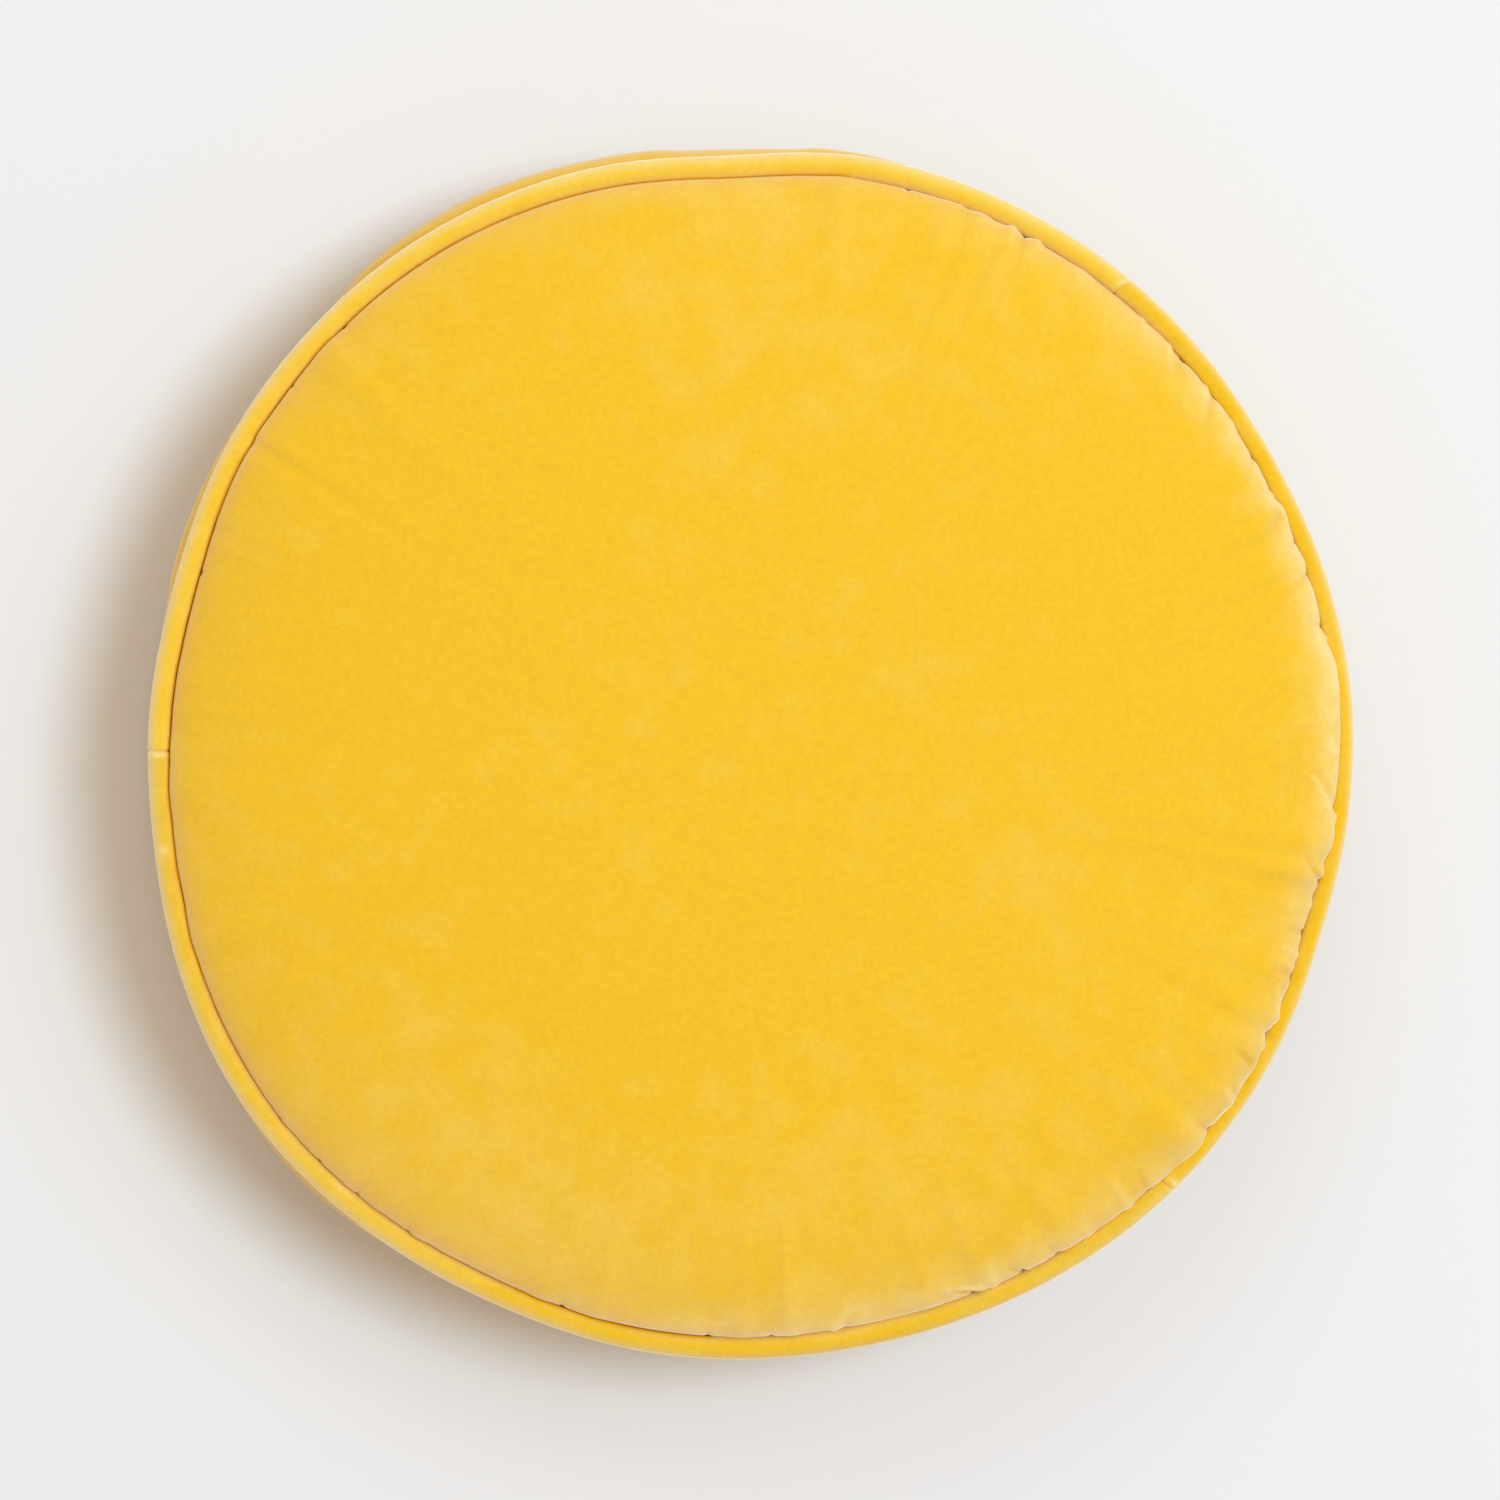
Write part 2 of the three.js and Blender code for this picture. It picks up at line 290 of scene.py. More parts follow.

# Small folds and tucks in the face beside its seam, each along a line between two points. A point
# is an angle and a distance in from the outer edge of the piping. The cloth sinks by depth, or
# rises where it is negative; sheen is painted on its nap by the share pale, and shade into the
# folds that sink. A row gives at, inside, to_at, to_inside, width, depth and pale.
FOLDS = [
    Fold(353.4, 4.6, 357.8, 16.0, 0.9, -0.8, 0.55),
    Fold(354.4, 5.6, 358.8, 14.5, 1.3, 0.5, -0.05),
    Fold(0.3, 7.4, 2.2, 12.0, 1.3, -0.4, 0.35),
    Fold(3.0, 9.5, 5.8, 14.5, 1.5, -0.4, 0.2),
    Fold(11.4, 6.6, 11.9, 9.8, 0.8, -0.5, 0.3),
    Fold(12.7, 7.2, 13.4, 12.0, 1.3, 0.5, -0.05),
    Fold(14.3, 8.0, 14.9, 15.0, 1.2, -0.3, 0.2),
    Fold(18.0, 6.8, 17.4, 12.0, 1.0, 0.4, -0.05),
    Fold(21.4, 6.8, 20.6, 11.0, 0.9, 0.35, -0.05),
    Fold(26.5, 7.0, 25.4, 12.5, 1.2, -0.5, 0.4),
    Fold(24.4, 8.0, 23.0, 15.0, 1.6, 0.5, -0.08),
    Fold(30.6, 7.0, 29.0, 14.0, 1.4, 0.4, -0.05),
    Fold(34.5, 7.6, 33.5, 12.0, 2.2, -0.4, 0.2),
    Fold(38.9, 7.6, 37.1, 14.5, 1.3, -0.6, 0.4),
    Fold(37.6, 8.2, 36.0, 15.0, 1.6, 0.5, -0.06),
    Fold(44.3, 8.0, 42.6, 13.8, 1.2, -0.6, 0.4),
    Fold(42.4, 8.0, 40.9, 14.0, 1.5, 0.4, -0.06),
    Fold(48.0, 8.4, 46.6, 12.6, 1.3, -0.4, 0.2),
    Fold(60.7, 7.8, 60.6, 10.5, 1.4, -0.5, 0.3),
    Fold(62.1, 8.0, 62.0, 14.0, 1.2, 0.6, -0.1),
    Fold(63.5, 7.4, 63.3, 11.0, 1.2, -0.5, 0.35),
    Fold(69.0, 8.0, 69.2, 10.0, 1.2, -0.3, 0.2),
    Fold(74.4, 8.0, 74.2, 10.0, 0.9, 0.4, 0.0),
    Fold(133.4, 8.0, 133.0, 11.0, 0.8, 0.35, -0.1),
    Fold(141.0, 8.2, 141.3, 10.5, 0.8, 0.3, -0.1),
    Fold(161.3, 8.0, 161.9, 9.8, 0.7, 0.3, -0.05),
    Fold(217.6, 8.0, 216.7, 10.6, 0.8, 0.3, -0.1),
    Fold(223.1, 8.0, 222.8, 10.0, 0.8, 0.3, -0.1),
    Fold(228.0, 8.2, 227.8, 13.0, 0.7, 0.35, -0.05),
    Fold(234.2, 8.2, 233.8, 11.5, 0.8, 0.35, -0.08),
    Fold(251.1, 8.2, 250.8, 11.0, 0.9, 0.4, -0.1),
    Fold(265.8, 8.6, 265.6, 12.0, 1.0, 0.45, -0.1),
    Fold(272.0, 8.0, 271.6, 11.0, 1.0, 0.4, -0.05),
    Fold(278.2, 8.8, 279.8, 15.5, 1.5, -0.7, 0.3),
    Fold(279.4, 8.6, 281.0, 13.5, 1.3, 0.3, -0.04),
    Fold(293.2, 7.2, 290.7, 11.8, 0.7, 1.2, -0.15),
    Fold(293.4, 8.9, 289.2, 14.2, 0.9, -0.8, 0.4),
    Fold(294.7, 8.0, 295.0, 16.0, 1.7, -0.5, 0.3),
    Fold(297.9, 7.6, 296.7, 11.8, 0.8, 0.9, -0.1),
    Fold(298.2, 13.5, 299.8, 20.0, 1.8, -0.5, 0.2),
    Fold(301.7, 8.0, 301.2, 12.0, 1.2, 0.6, -0.05),
    Fold(305.2, 7.6, 305.4, 10.5, 1.6, -0.4, 0.25),
    Fold(310.0, 7.6, 310.2, 19.0, 2.0, -0.6, 0.25),
    Fold(312.4, 7.8, 312.8, 15.0, 1.5, 0.6, -0.05),
    Fold(320.8, 6.2, 320.6, 12.0, 1.1, 0.7, -0.05),
    Fold(324.0, 6.2, 324.8, 11.5, 1.0, -0.6, 0.4),
    Fold(325.0, 6.2, 325.6, 9.5, 0.9, 0.6, -0.1),
    Fold(328.3, 8.0, 328.9, 15.0, 1.3, 1.0, -0.12),
    Fold(330.3, 6.6, 331.9, 10.8, 1.2, -0.6, 0.4),
    Fold(331.5, 6.2, 331.9, 8.6, 0.8, 0.8, -0.05),
    Fold(333.2, 6.0, 336.3, 10.8, 1.1, -0.6, 0.4),
    Fold(337.7, 6.6, 338.0, 13.5, 1.8, 0.7, -0.1),
    Fold(339.8, 6.6, 340.2, 14.5, 1.3, -0.6, 0.4),
    Fold(342.2, 6.8, 342.0, 13.0, 1.0, 0.6, -0.05),
    Fold(345.0, 7.2, 344.5, 11.0, 1.6, -0.4, 0.2),
    Fold(347.4, 6.0, 349.4, 13.8, 1.2, 1.0, -0.1),
]

# Where one strip of the front piping is joined to the next, and how many degrees the join leans
PIPING_JOINS = [Join(at=51.6, slant=-0.2), Join(at=179.4, slant=0), Join(at=314.0, slant=0.1)]
# Pale patches are painted beside the joins, as a highlight on their raised seams, and in a few
# other places along the piping, where the nap is rubbed pale. A patch that leans lies so many
# millimetres further round for each that it reaches in.
PIPING_PATCHES = [
    Patch(at=51.9, inside=3.0, along=0.9, across=2.6, lean=0.45, pale=0.7),
    Patch(at=158.0, inside=1.8, along=2.2, across=1.4, lean=0, pale=0.3),
    Patch(at=179.75, inside=3.4, along=1.1, across=4.0, lean=0, pale=0.9),
    Patch(at=189.0, inside=3.4, along=1.8, across=1.6, lean=0, pale=0.6),
    Patch(at=207.0, inside=5.4, along=9.0, across=1.4, lean=0, pale=0.2),
    Patch(at=226.5, inside=6.2, along=5.0, across=1.2, lean=0, pale=0.3),
    Patch(at=314.7, inside=2.2, along=0.8, across=2.4, lean=0.1, pale=0.9),
]


# Small helpers

def bell(x):
    return math.exp(-x * x)


def turn_between(start, end):
    """Shortest signed turn from one angle to another, in degrees."""
    return (end - start + 180) % 360 - 180


def smooth(low, high, value):
    """0 below low, 1 above high, and a soft step between them."""
    share = min(max((value - low) / (high - low), 0), 1)
    return share * share * (3 - 2 * share)


def lobe_sum(lobes, deg):
    return sum(lobe.out * bell(turn_between(lobe.at, deg) / lobe.spread) for lobe in lobes)


def lobe_push(lobes, deg):
    """The sum of a table in millimetres, in metres."""
    return MM * lobe_sum(lobes, deg)


def angle_of(co):
    return math.degrees(math.atan2(co.y, co.x)) % 360


def polar(radius, deg, height):
    angle = math.radians(deg)
    return Vector((radius * math.cos(angle), radius * math.sin(angle), height))


# The shape of the cushion

def front_ring_radius(deg):
    return FRONT_RING_RADIUS + lobe_push(SEAM_LOBES, deg)


def front_ring_height(deg):
    return FRONT_SEAM_HEIGHT + lobe_push(HEIGHT_LOBES, deg)


def cord_radius(deg):
    return PIPING_RADIUS + lobe_push(CORD_LOBES, deg)


def sheenless_crease_at(deg):
    """Whether the crease beside the front piping takes the copy of the velvet without sheen, as
    painted shade, at this angle.
    """
    return not any(first < deg < last for first, last in SHEENED_CREASES)


def piping_shown(deg):
    """How much of the front piping's width the face leaves in sight."""
    hidden = lobe_push(PUFF_LOBES, deg) - 2 * lobe_push(CORD_LOBES, deg)
    hidden += WAVER * noise.noise(polar(FRONT_RING_RADIUS / WAVER_LENGTH, deg, 0))
    for hook in HOOKS:
        turn = turn_between(hook.at, deg)
        spread = hook.after if turn > 0 else hook.before
        if abs(turn) < HOOK_ENDS * spread:
            hidden += hook.out * MM * bell(turn / spread)
    return PIPING_SHOWN - hidden


def pucker_depth(deg, inward):
    depth = 0
    for pucker in PUCKERS:
        along = inward / (pucker.reach * MM)
        if along < 1:
            centre = pucker.at + pucker.slant * along
            narrowness = bell(turn_between(centre, deg) / pucker.spread)
            depth += pucker.depth * MM * (1 - along) ** 2 * narrowness
    return depth


def rounded_quarter(share, squareness):
    """A quarter of a rounded box, from (1, 0) to (0, 1)."""
    angle = share * math.pi / 2
    power = 2 / squareness
    return max(math.cos(angle), 0) ** power, math.sin(angle) ** power


def notch(ring_radius, ring_height, cord, first, last, slot=0):
    """The body's outline round a piping of some radius, between two angles of its section. It
    stands clear of the piping by the slot at its last point."""
    points = []
    for i in range(NOTCH_POINTS):
        share = i / (NOTCH_POINTS - 1)
        angle = math.radians(first + (last - first) * share)
        hug = cord + CLOTH_GAP + slot * smooth(SLOT_START, 1, share)
        points.append((ring_radius + hug * math.cos(angle), ring_height + hug * math.sin(angle)))
    return points


def face_touch(cord, shown):
    """Angle of the piping's section at which the face leaves it, for the width that shows."""
    cosine = (cord - shown) / (cord + CLOTH_GAP)
    return math.degrees(math.acos(max(cosine, LEAST_TOUCH_COSINE)))


def underside_points(rim):
    """Flat where the cushion rests, then rolling up to the back seam."""
    points = [(0, 0), (REST_SPOT_MIDDLE, 0)]
    for i in range(UNDERSIDE_POINTS):
        across, up = rounded_quarter(1 - i / UNDERSIDE_POINTS, UNDERSIDE_SQUARENESS)
        radius = REST_SPOT_RADIUS + (rim[0] - REST_SPOT_RADIUS) * across
        points.append((radius, rim[1] * (1 - up)))
    return points


def band_points(low, high, belly):
    """The side band between the two pipings."""
    points = []
    middle = (low[1] + high[1]) / 2
    half = (high[1] - low[1]) / 2
    for i in range(BAND_POINTS):
        side = 2 * (i + 1) / (BAND_POINTS + 1) - 1
        across, up = rounded_quarter(abs(side), BAND_SQUARENESS)
        edge = low[0] if side < 0 else high[0]
        points.append((edge + (belly - edge) * across, middle + math.copysign(half * up, side)))
    return points


def face_points(deg, rim):
    """The crowned face, from the front seam to the middle."""
    points = []
    for i in range(1, FACE_POINTS + 1):
        share = i / FACE_POINTS
        share *= FACE_CROWDING + (1 - FACE_CROWDING) * share
        across, up = rounded_quarter(share, FACE_SQUARENESS)
        radius = rim[0] * across
        height = rim[1] + (FACE_TOP - rim[1]) * up
        points.append((radius, height - pucker_depth(deg, rim[0] - radius)))
    return points


# Where the underside leaves the back piping
BACK_TOUCH = 360 - face_touch(PIPING_RADIUS, PIPING_SHOWN)


def body_section(deg):
    """Half the section at one angle, as (radius, height) points from the middle of the underside,
    round the outside and up to the middle of the face."""
    ring_radius = front_ring_radius(deg)
    ring_height = front_ring_height(deg)
    cord = cord_radius(deg)
    front_touch = face_touch(cord, piping_shown(deg))
    back_notch = notch(BACK_RING_RADIUS, BACK_SEAM_HEIGHT, PIPING_RADIUS, BACK_TOUCH, BAND_TOUCH)
    slot = lobe_push(SLOT_LOBES, deg)
    front_notch = notch(ring_radius, ring_height, cord, 360 - BAND_TOUCH, front_touch, slot)
    belly = ring_radius + PIPING_RADIUS + BAND_PROUD + lobe_push(BAND_LOBES, deg)
    return (
        underside_points(back_notch[0])
        + back_notch
        + band_points(back_notch[-1], front_notch[0], belly)
        + front_notch
        + face_points(deg, front_notch[-1])
    )


# Where each stretch of the section starts in its list of points, after two on the flat spot
BACK_NOTCH_ROW = 2 + UNDERSIDE_POINTS
BAND_ROW = BACK_NOTCH_ROW + NOTCH_POINTS
FRONT_NOTCH_ROW = BAND_ROW + BAND_POINTS
FACE_ROW = FRONT_NOTCH_ROW + NOTCH_POINTS


def turned(points, columns, closed=False, degrees=360):
    """A bmesh turned from a line of (radius, height) points round the Z axis. Each vertex keeps
    the number of its point in the layer row."""
    bm = bmesh.new()
    row = bm.verts.layers.int.new("row")
    line = []
    for number, (radius, height) in enumerate(points):
        vert = bm.verts.new((radius, 0, height))
        vert[row] = number
        line.append(vert)
    pairs = list(zip(line, line[1:]))
    if closed:
        pairs.append((line[-1], line[0]))
    for pair in pairs:
        bm.edges.new(pair)
    bmesh.ops.spin(
        bm,
        geom=bm.verts[:] + bm.edges[:],
        cent=(0, 0, 0),
        axis=(0, 0, 1),
        angle=math.radians(degrees),
        steps=columns,
        use_merge=degrees == 360,
    )
    bmesh.ops.remove_doubles(bm, verts=bm.verts, dist=TINY)
    return bm


def cut_columns(bm, parts, beyond=0, from_row=0):
    """Cuts the columns of a turned shape lengthwise, from a row of points on, where they lie
    beyond some radius."""
    row = bm.verts.layers.int["row"]
    rungs = []
    for edge in bm.edges:
        first, second = edge.verts
        if first[row] == second[row] >= from_row and first.co.xy.length > beyond:
            rungs.append(edge)
    bmesh.ops.subdivide_edges(bm, edges=rungs, cuts=parts - 1, use_grid_fill=True)


def new_piece(name, bm):
    bmesh.ops.recalc_face_normals(bm, faces=bm.faces)
    for face in bm.faces:
        face.smooth = True
    mesh = bpy.data.meshes.new(name)
    bm.to_mesh(mesh)
    bm.free()
    piece = bpy.data.objects.new(name, mesh)
    bpy.context.scene.collection.objects.link(piece)
    return piece


def distances_along(section):
    """How far each point of a section lies past the start of the face, measured along the cloth:
    less than 0 on the piping's notch, the band and the underside."""
    lengths = [0]
    for first, second in zip(section, section[1:]):
        lengths.append(lengths[-1] + math.dist(first, second))
    return [length - lengths[FACE_ROW - 1] for length in lengths]


def distance_to_seam(distances, row):
    """Distance along the cloth from a point of the section to the nearest piping notch."""
    if row >= FACE_ROW:
        return distances[row]
    if row >= FRONT_NOTCH_ROW:
        return 0
    if row >= BAND_ROW:
        to_front = distances[FRONT_NOTCH_ROW] - distances[row]
        return min(to_front, distances[row] - distances[BAND_ROW - 1])
    return max(distances[BACK_NOTCH_ROW] - distances[row], 0)


def shape_body(bm):
    """Moves each point of the turned body to the section of its own angle, and then by what the
    filling pushed it. The layers say how far along the cloth it lies from the seams."""
    row = bm.verts.layers.int["row"]
    pushed = bm.verts.layers.float_vector["pushed"]
    inward = bm.verts.layers.float["inward"]
    from_seam = bm.verts.layers.float["from_seam"]
    sections = {}
    for vert in bm.verts:
        deg = round(angle_of(vert.co) * RIM_COLUMNS / 360) * 360 / RIM_COLUMNS % 360
        if deg not in sections:
            section = body_section(deg)
            sections[deg] = section, distances_along(section)
        section, distances = sections[deg]
        radius, height = section[vert[row]]
        vert[inward] = distances[vert[row]]
        vert[from_seam] = distance_to_seam(distances, vert[row])
        vert.co = polar(radius, deg, height) + vert[pushed]


def body_blank():
    """The filled body as it is turned, with the wrinkles that its filling presses into it."""
    bm = turned(body_section(0), MIDDLE_COLUMNS)
    for beyond, parts in COLUMN_CUTS:
        cut_columns(bm, parts, beyond)
    bm.verts.layers.float_vector.new("pushed")
    bm.verts.layers.float.new("inward")
    bm.verts.layers.float.new("from_seam")
    shape_body(bm)
    press_filling(bm)
    cut_columns(bm, RIM_CUT_PARTS, RIM_CUT_BEYOND, from_row=FRONT_NOTCH_ROW)
    shape_body(bm)
    return new_piece("velvet_cushion", bm)


# How much longer the slack cloth beside the seam is than the line it lies on, as a share of it
SLACK = 0.012
SLACK_LOBES = [Lobe(at=340, spread=50, out=0.05), Lobe(at=40, spread=30, out=0.03)]
SLACK_REACH = 26 * MM
MOST_SLACK = 0.07
# The band has this share of the most.
BAND_SLACK = 0.35
# Between these distances from the seam the face goes from free to held
FREE_FACE = (45 * MM, 85 * MM)
CLOTH_FRAMES = 20
FILLING_PRESSURE = 4
# The wrinkles stay within this much of the drawn shape, on the face and on the band.
WRINKLE_LIMIT = 2.4 * MM
BAND_WRINKLE_LIMIT = 0.5 * MM
# The share of the face's wrinkles that is kept: its left lies nearly smooth.
WRINKLES_KEPT = 0.12
WRINKLES_KEPT_LOBES = [Lobe(at=330, spread=55, out=0.4), Lobe(at=35, spread=30, out=0.2)]
# They fade between these distances from the seam.
WRINKLE_REACH = (10 * MM, 38 * MM)


def slack_at(row, inward, deg):
    """Share of the most slack that the cloth has at a point."""
    if BAND_ROW <= row < FRONT_NOTCH_ROW:
        return BAND_SLACK
    if row < FACE_ROW:
        return 0
    slack = SLACK + lobe_sum(SLACK_LOBES, deg)
    return min(slack * (1 - smooth(0, SLACK_REACH, inward)) / MOST_SLACK, 1)


def hold_at(row, inward):
    """1 where the cloth is sewn or lies still, 0 where it is free."""
    if row >= FACE_ROW:
        return smooth(*FREE_FACE, inward)
    if BAND_ROW <= row < FRONT_NOTCH_ROW or row == BACK_NOTCH_ROW - 1:
        return 0
    return 1


def press_filling(bm):
    """Cloth simulation: the slack cloth between the seams is pressed from inside."""
    bm.verts.ensure_lookup_table()
    row = bm.verts.layers.int["row"]
    inward = bm.verts.layers.float["inward"]
    mesh = bpy.data.meshes.new("cloth blank")
    bm.to_mesh(mesh)
    blank = bpy.data.objects.new("cloth blank", mesh)
    bpy.context.scene.collection.objects.link(blank)
    held = blank.vertex_groups.new(name="held")
    slack = blank.vertex_groups.new(name="slack")
    for vert in bm.verts:
        held.add([vert.index], hold_at(vert[row], vert[inward]), "REPLACE")
        slack.add([vert.index], slack_at(vert[row], vert[inward], angle_of(vert.co)), "REPLACE")
    modifier = blank.modifiers.new("cloth", "CLOTH")
    settings = modifier.settings
    settings.quality = 6
    settings.mass = 0.3
    settings.tension_stiffness = 15
    settings.compression_stiffness = 15
    settings.shear_stiffness = 5
    settings.bending_stiffness = 0.4
    settings.use_pressure = True
    settings.uniform_pressure_force = FILLING_PRESSURE
    settings.vertex_group_mass = "held"
    settings.vertex_group_shrink = "slack"
    settings.shrink_min = 0
    settings.shrink_max = -MOST_SLACK
    settings.effector_weights.gravity = 0
    modifier.collision_settings.use_collision = False
    modifier.point_cache.frame_start = 1
    modifier.point_cache.frame_end = CLOTH_FRAMES
    for frame_number in range(1, CLOTH_FRAMES + 1):
        bpy.context.scene.frame_set(frame_number)
    depsgraph = bpy.context.evaluated_depsgraph_get()
    settled = blank.evaluated_get(depsgraph).to_mesh()
    keep_wrinkles(bm, [vert.co.copy() for vert in settled.vertices])
    bpy.data.objects.remove(blank)
    bpy.context.scene.frame_set(1)


def keep_wrinkles(bm, settled):
    """Keeps in the layer pushed where the cloth settled, within its limits and without the even
    swelling of each row of points."""
    row = bm.verts.layers.int["row"]
    inward = bm.verts.layers.float["inward"]
    pushed = bm.verts.layers.float_vector["pushed"]
    rows = {}
    for vert in bm.verts:
        turn = Matrix.Rotation(-math.atan2(vert.co.y, vert.co.x), 3, "Z")
        push = turn @ (settled[vert.index] - vert.co)
        rows.setdefault(vert[row], []).append((vert, turn, push))
    for number, members in rows.items():
        swelling = sum((push for _, _, push in members), Vector()) / len(members)
        for vert, turn, push in members:
            wrinkle = push - swelling
            if number >= FACE_ROW:
                limit = WRINKLE_LIMIT
                wrinkle *= WRINKLES_KEPT + lobe_sum(WRINKLES_KEPT_LOBES, angle_of(vert.co))
                wrinkle *= 1 - smooth(*WRINKLE_REACH, vert[inward])
            else:
                limit = BAND_WRINKLE_LIMIT
            wrinkle *= limit / max(limit, wrinkle.length)
            vert[pushed] = turn.transposed() @ wrinkle


def subdivide(piece):
    modifier = piece.modifiers.new("subdivision", "SUBSURF")
    modifier.levels = 1
    modifier.render_levels = 1
    depsgraph = bpy.context.evaluated_depsgraph_get()
    finished = bpy.data.meshes.new_from_object(piece.evaluated_get(depsgraph), depsgraph=depsgraph)
    piece.modifiers.clear()
    piece.data = finished


# The places of the crease's, the band's and the lip's materials on the cushion. The strips of the
# front piping have the first of them.
CREASE_MATERIAL = 1
BAND_MATERIAL = 2
LIP_MATERIAL = 3
# The lip of the face has less sheen and a lighter colour between these angles, as painted light.
LIP_STRETCH = (75, 214)
LIP_WIDTH = 2.4 * MM
# From this depth on, from 0 to 1, a crease takes the copy of the velvet without sheen, as painted
# shade.
SHEENLESS_CREASE = 0.2
# How far outside the start of the face the band's material starts
BAND_INSIDE = 8 * MM
# How strongly shade is painted into the creases, from 0 to 1
CREASE_SHADE = 0.04
CREASE_SHADE_LOBES = [
    Lobe(at=34, spread=16, out=0.4),
    Lobe(at=168, spread=32, out=0.9),
    Lobe(at=256, spread=10, out=0.25),
]
CREASE_REACH = 2 * MM
# How the table's depths and painted sheen are brought to the cloth, and how much shade is painted
# into a fold
FOLD_DEPTH = 1.4
FOLD_SHEEN_PAINT = 1.5
FOLD_SHADE = 0.5
# How much a fold loses of its strength by its end
FOLD_LOSS = 0.6
# Folds are worked out between these distances past the seam.
FOLD_START = -2 * MM
FOLD_REACH = 26 * MM
# The share of the lap over the piping that isn't creased, and over what width the crease ends
LIP_SHARE = 0.6
LIP_FADE = 0.5 * MM
LIP_FADE_LOBES = [Lobe(at=150, spread=55, out=0.3)]
# The sheen painted on the nap, from 0 to 1, beside the seam, and the painted highlight on the lip
# that laps over the piping
RIM_SHEEN_PAINT = 0.04
RIM_SHEEN_PAINT_LOBES = [
    Lobe(at=14, spread=42, out=0.85),
    Lobe(at=104, spread=32, out=0.08),
    Lobe(at=286, spread=30, out=0.75),
]
RIM_SHEEN_PAINT_REACH = 12 * MM
RIM_PATCHINESS = 0.7
RIM_PATCH_SIZE = 11 * MM
RIM_PATCH_SOFTNESS = 0.8
RIM_PATCH_LACUNARITY = 2
RIM_PATCH_OCTAVES = 3
# The lap over the piping at which the painted highlight on its lip is full
LAP_FULL = 2.5 * MM
LIP_HIGHLIGHT = 1.05
LIP_HIGHLIGHT_PLACE = 0.5 * MM
LIP_HIGHLIGHT_WIDTH = 1.0 * MM
# Sheen is painted on the lower left of the face, its side away from the lamps, greyer far in from
# its seam
LEE_SHEEN_PAINT_LOBES = [Lobe(at=250, spread=34, out=0.14)]
LEE_SHEEN_PAINT_REACH = (20 * MM, 110 * MM)
# Shade is painted on its rim at the lower right.
RIM_SHADE_LOBES = [Lobe(at=310, spread=40, out=0.15)]
RIM_SHADE_REACH = 14 * MM
BAND_PALE = 0.04
# The face's painted sheen starts this far before its seam; before it the cloth has the band's even
# paleness.
FACE_SHEEN_START = -5 * MM


class FoldLine:
    """A fold of the table as a line across the cloth, in metres from its own start."""

    def __init__(self, fold):
        self.fold = fold
        self.inside = fold.inside * MM
        self.end = Vector((self.along(fold.to_at), (fold.to_inside - fold.inside) * MM))
        self.width = fold.width * MM

    def along(self, deg):
        return math.radians(turn_between(self.fold.at, deg)) * FRONT_RING_RADIUS

    def strength(self, deg, inside):
        """1 on the fold where it starts, less along it and beside it."""
        point = Vector((self.along(deg), inside - self.inside))
        share = min(max(point.dot(self.end) / self.end.length_squared, 0), 1)
        beside = (point - self.end * share).length / self.width
        if beside > FOLD_ENDS:
            return 0
        return (1 - FOLD_LOSS * share) * bell(beside)


def crease_depth(deg, past_seam, from_seam):
    """1 down in the notch of a piping, fading to 0 on the cloth beside it. Where the face laps
    over the piping, its lip isn't creased."""
    beside = 1 - smooth(0, CREASE_REACH, from_seam)
    lip = LIP_SHARE * max(PIPING_SHOWN - piping_shown(deg), 0)
    fade = LIP_FADE + lobe_push(SLOT_LOBES, deg) + lobe_push(LIP_FADE_LOBES, deg)
    return min(beside, 1 - smooth(-lip - fade, fade - lip, past_seam))


def crease_shade(deg):
    """How strongly shade is painted into the crease beside the front piping, from 0 to 1."""
    return CREASE_SHADE + lobe_sum(CREASE_SHADE_LOBES, deg)


def face_painted_sheen(co, deg, past_seam):
    """How much sheen is painted on the face as paleness of its nap, at a distance from its seam.
    """
    lapped = min(max((PIPING_SHOWN - piping_shown(deg)) / LAP_FULL, 0), 1)
    patches = noise.fractal(
        co / RIM_PATCH_SIZE, RIM_PATCH_SOFTNESS, RIM_PATCH_LACUNARITY, RIM_PATCH_OCTAVES
    )
    rim = (RIM_SHEEN_PAINT + lobe_sum(RIM_SHEEN_PAINT_LOBES, deg)) * bell(past_seam / RIM_SHEEN_PAINT_REACH)
    lip = LIP_HIGHLIGHT * lapped * bell((past_seam - LIP_HIGHLIGHT_PLACE) / LIP_HIGHLIGHT_WIDTH)
    lee = lobe_sum(LEE_SHEEN_PAINT_LOBES, deg) * (1 - smooth(*LEE_SHEEN_PAINT_REACH, past_seam))
    return rim * (1 + RIM_PATCHINESS * patches) + lip + lee


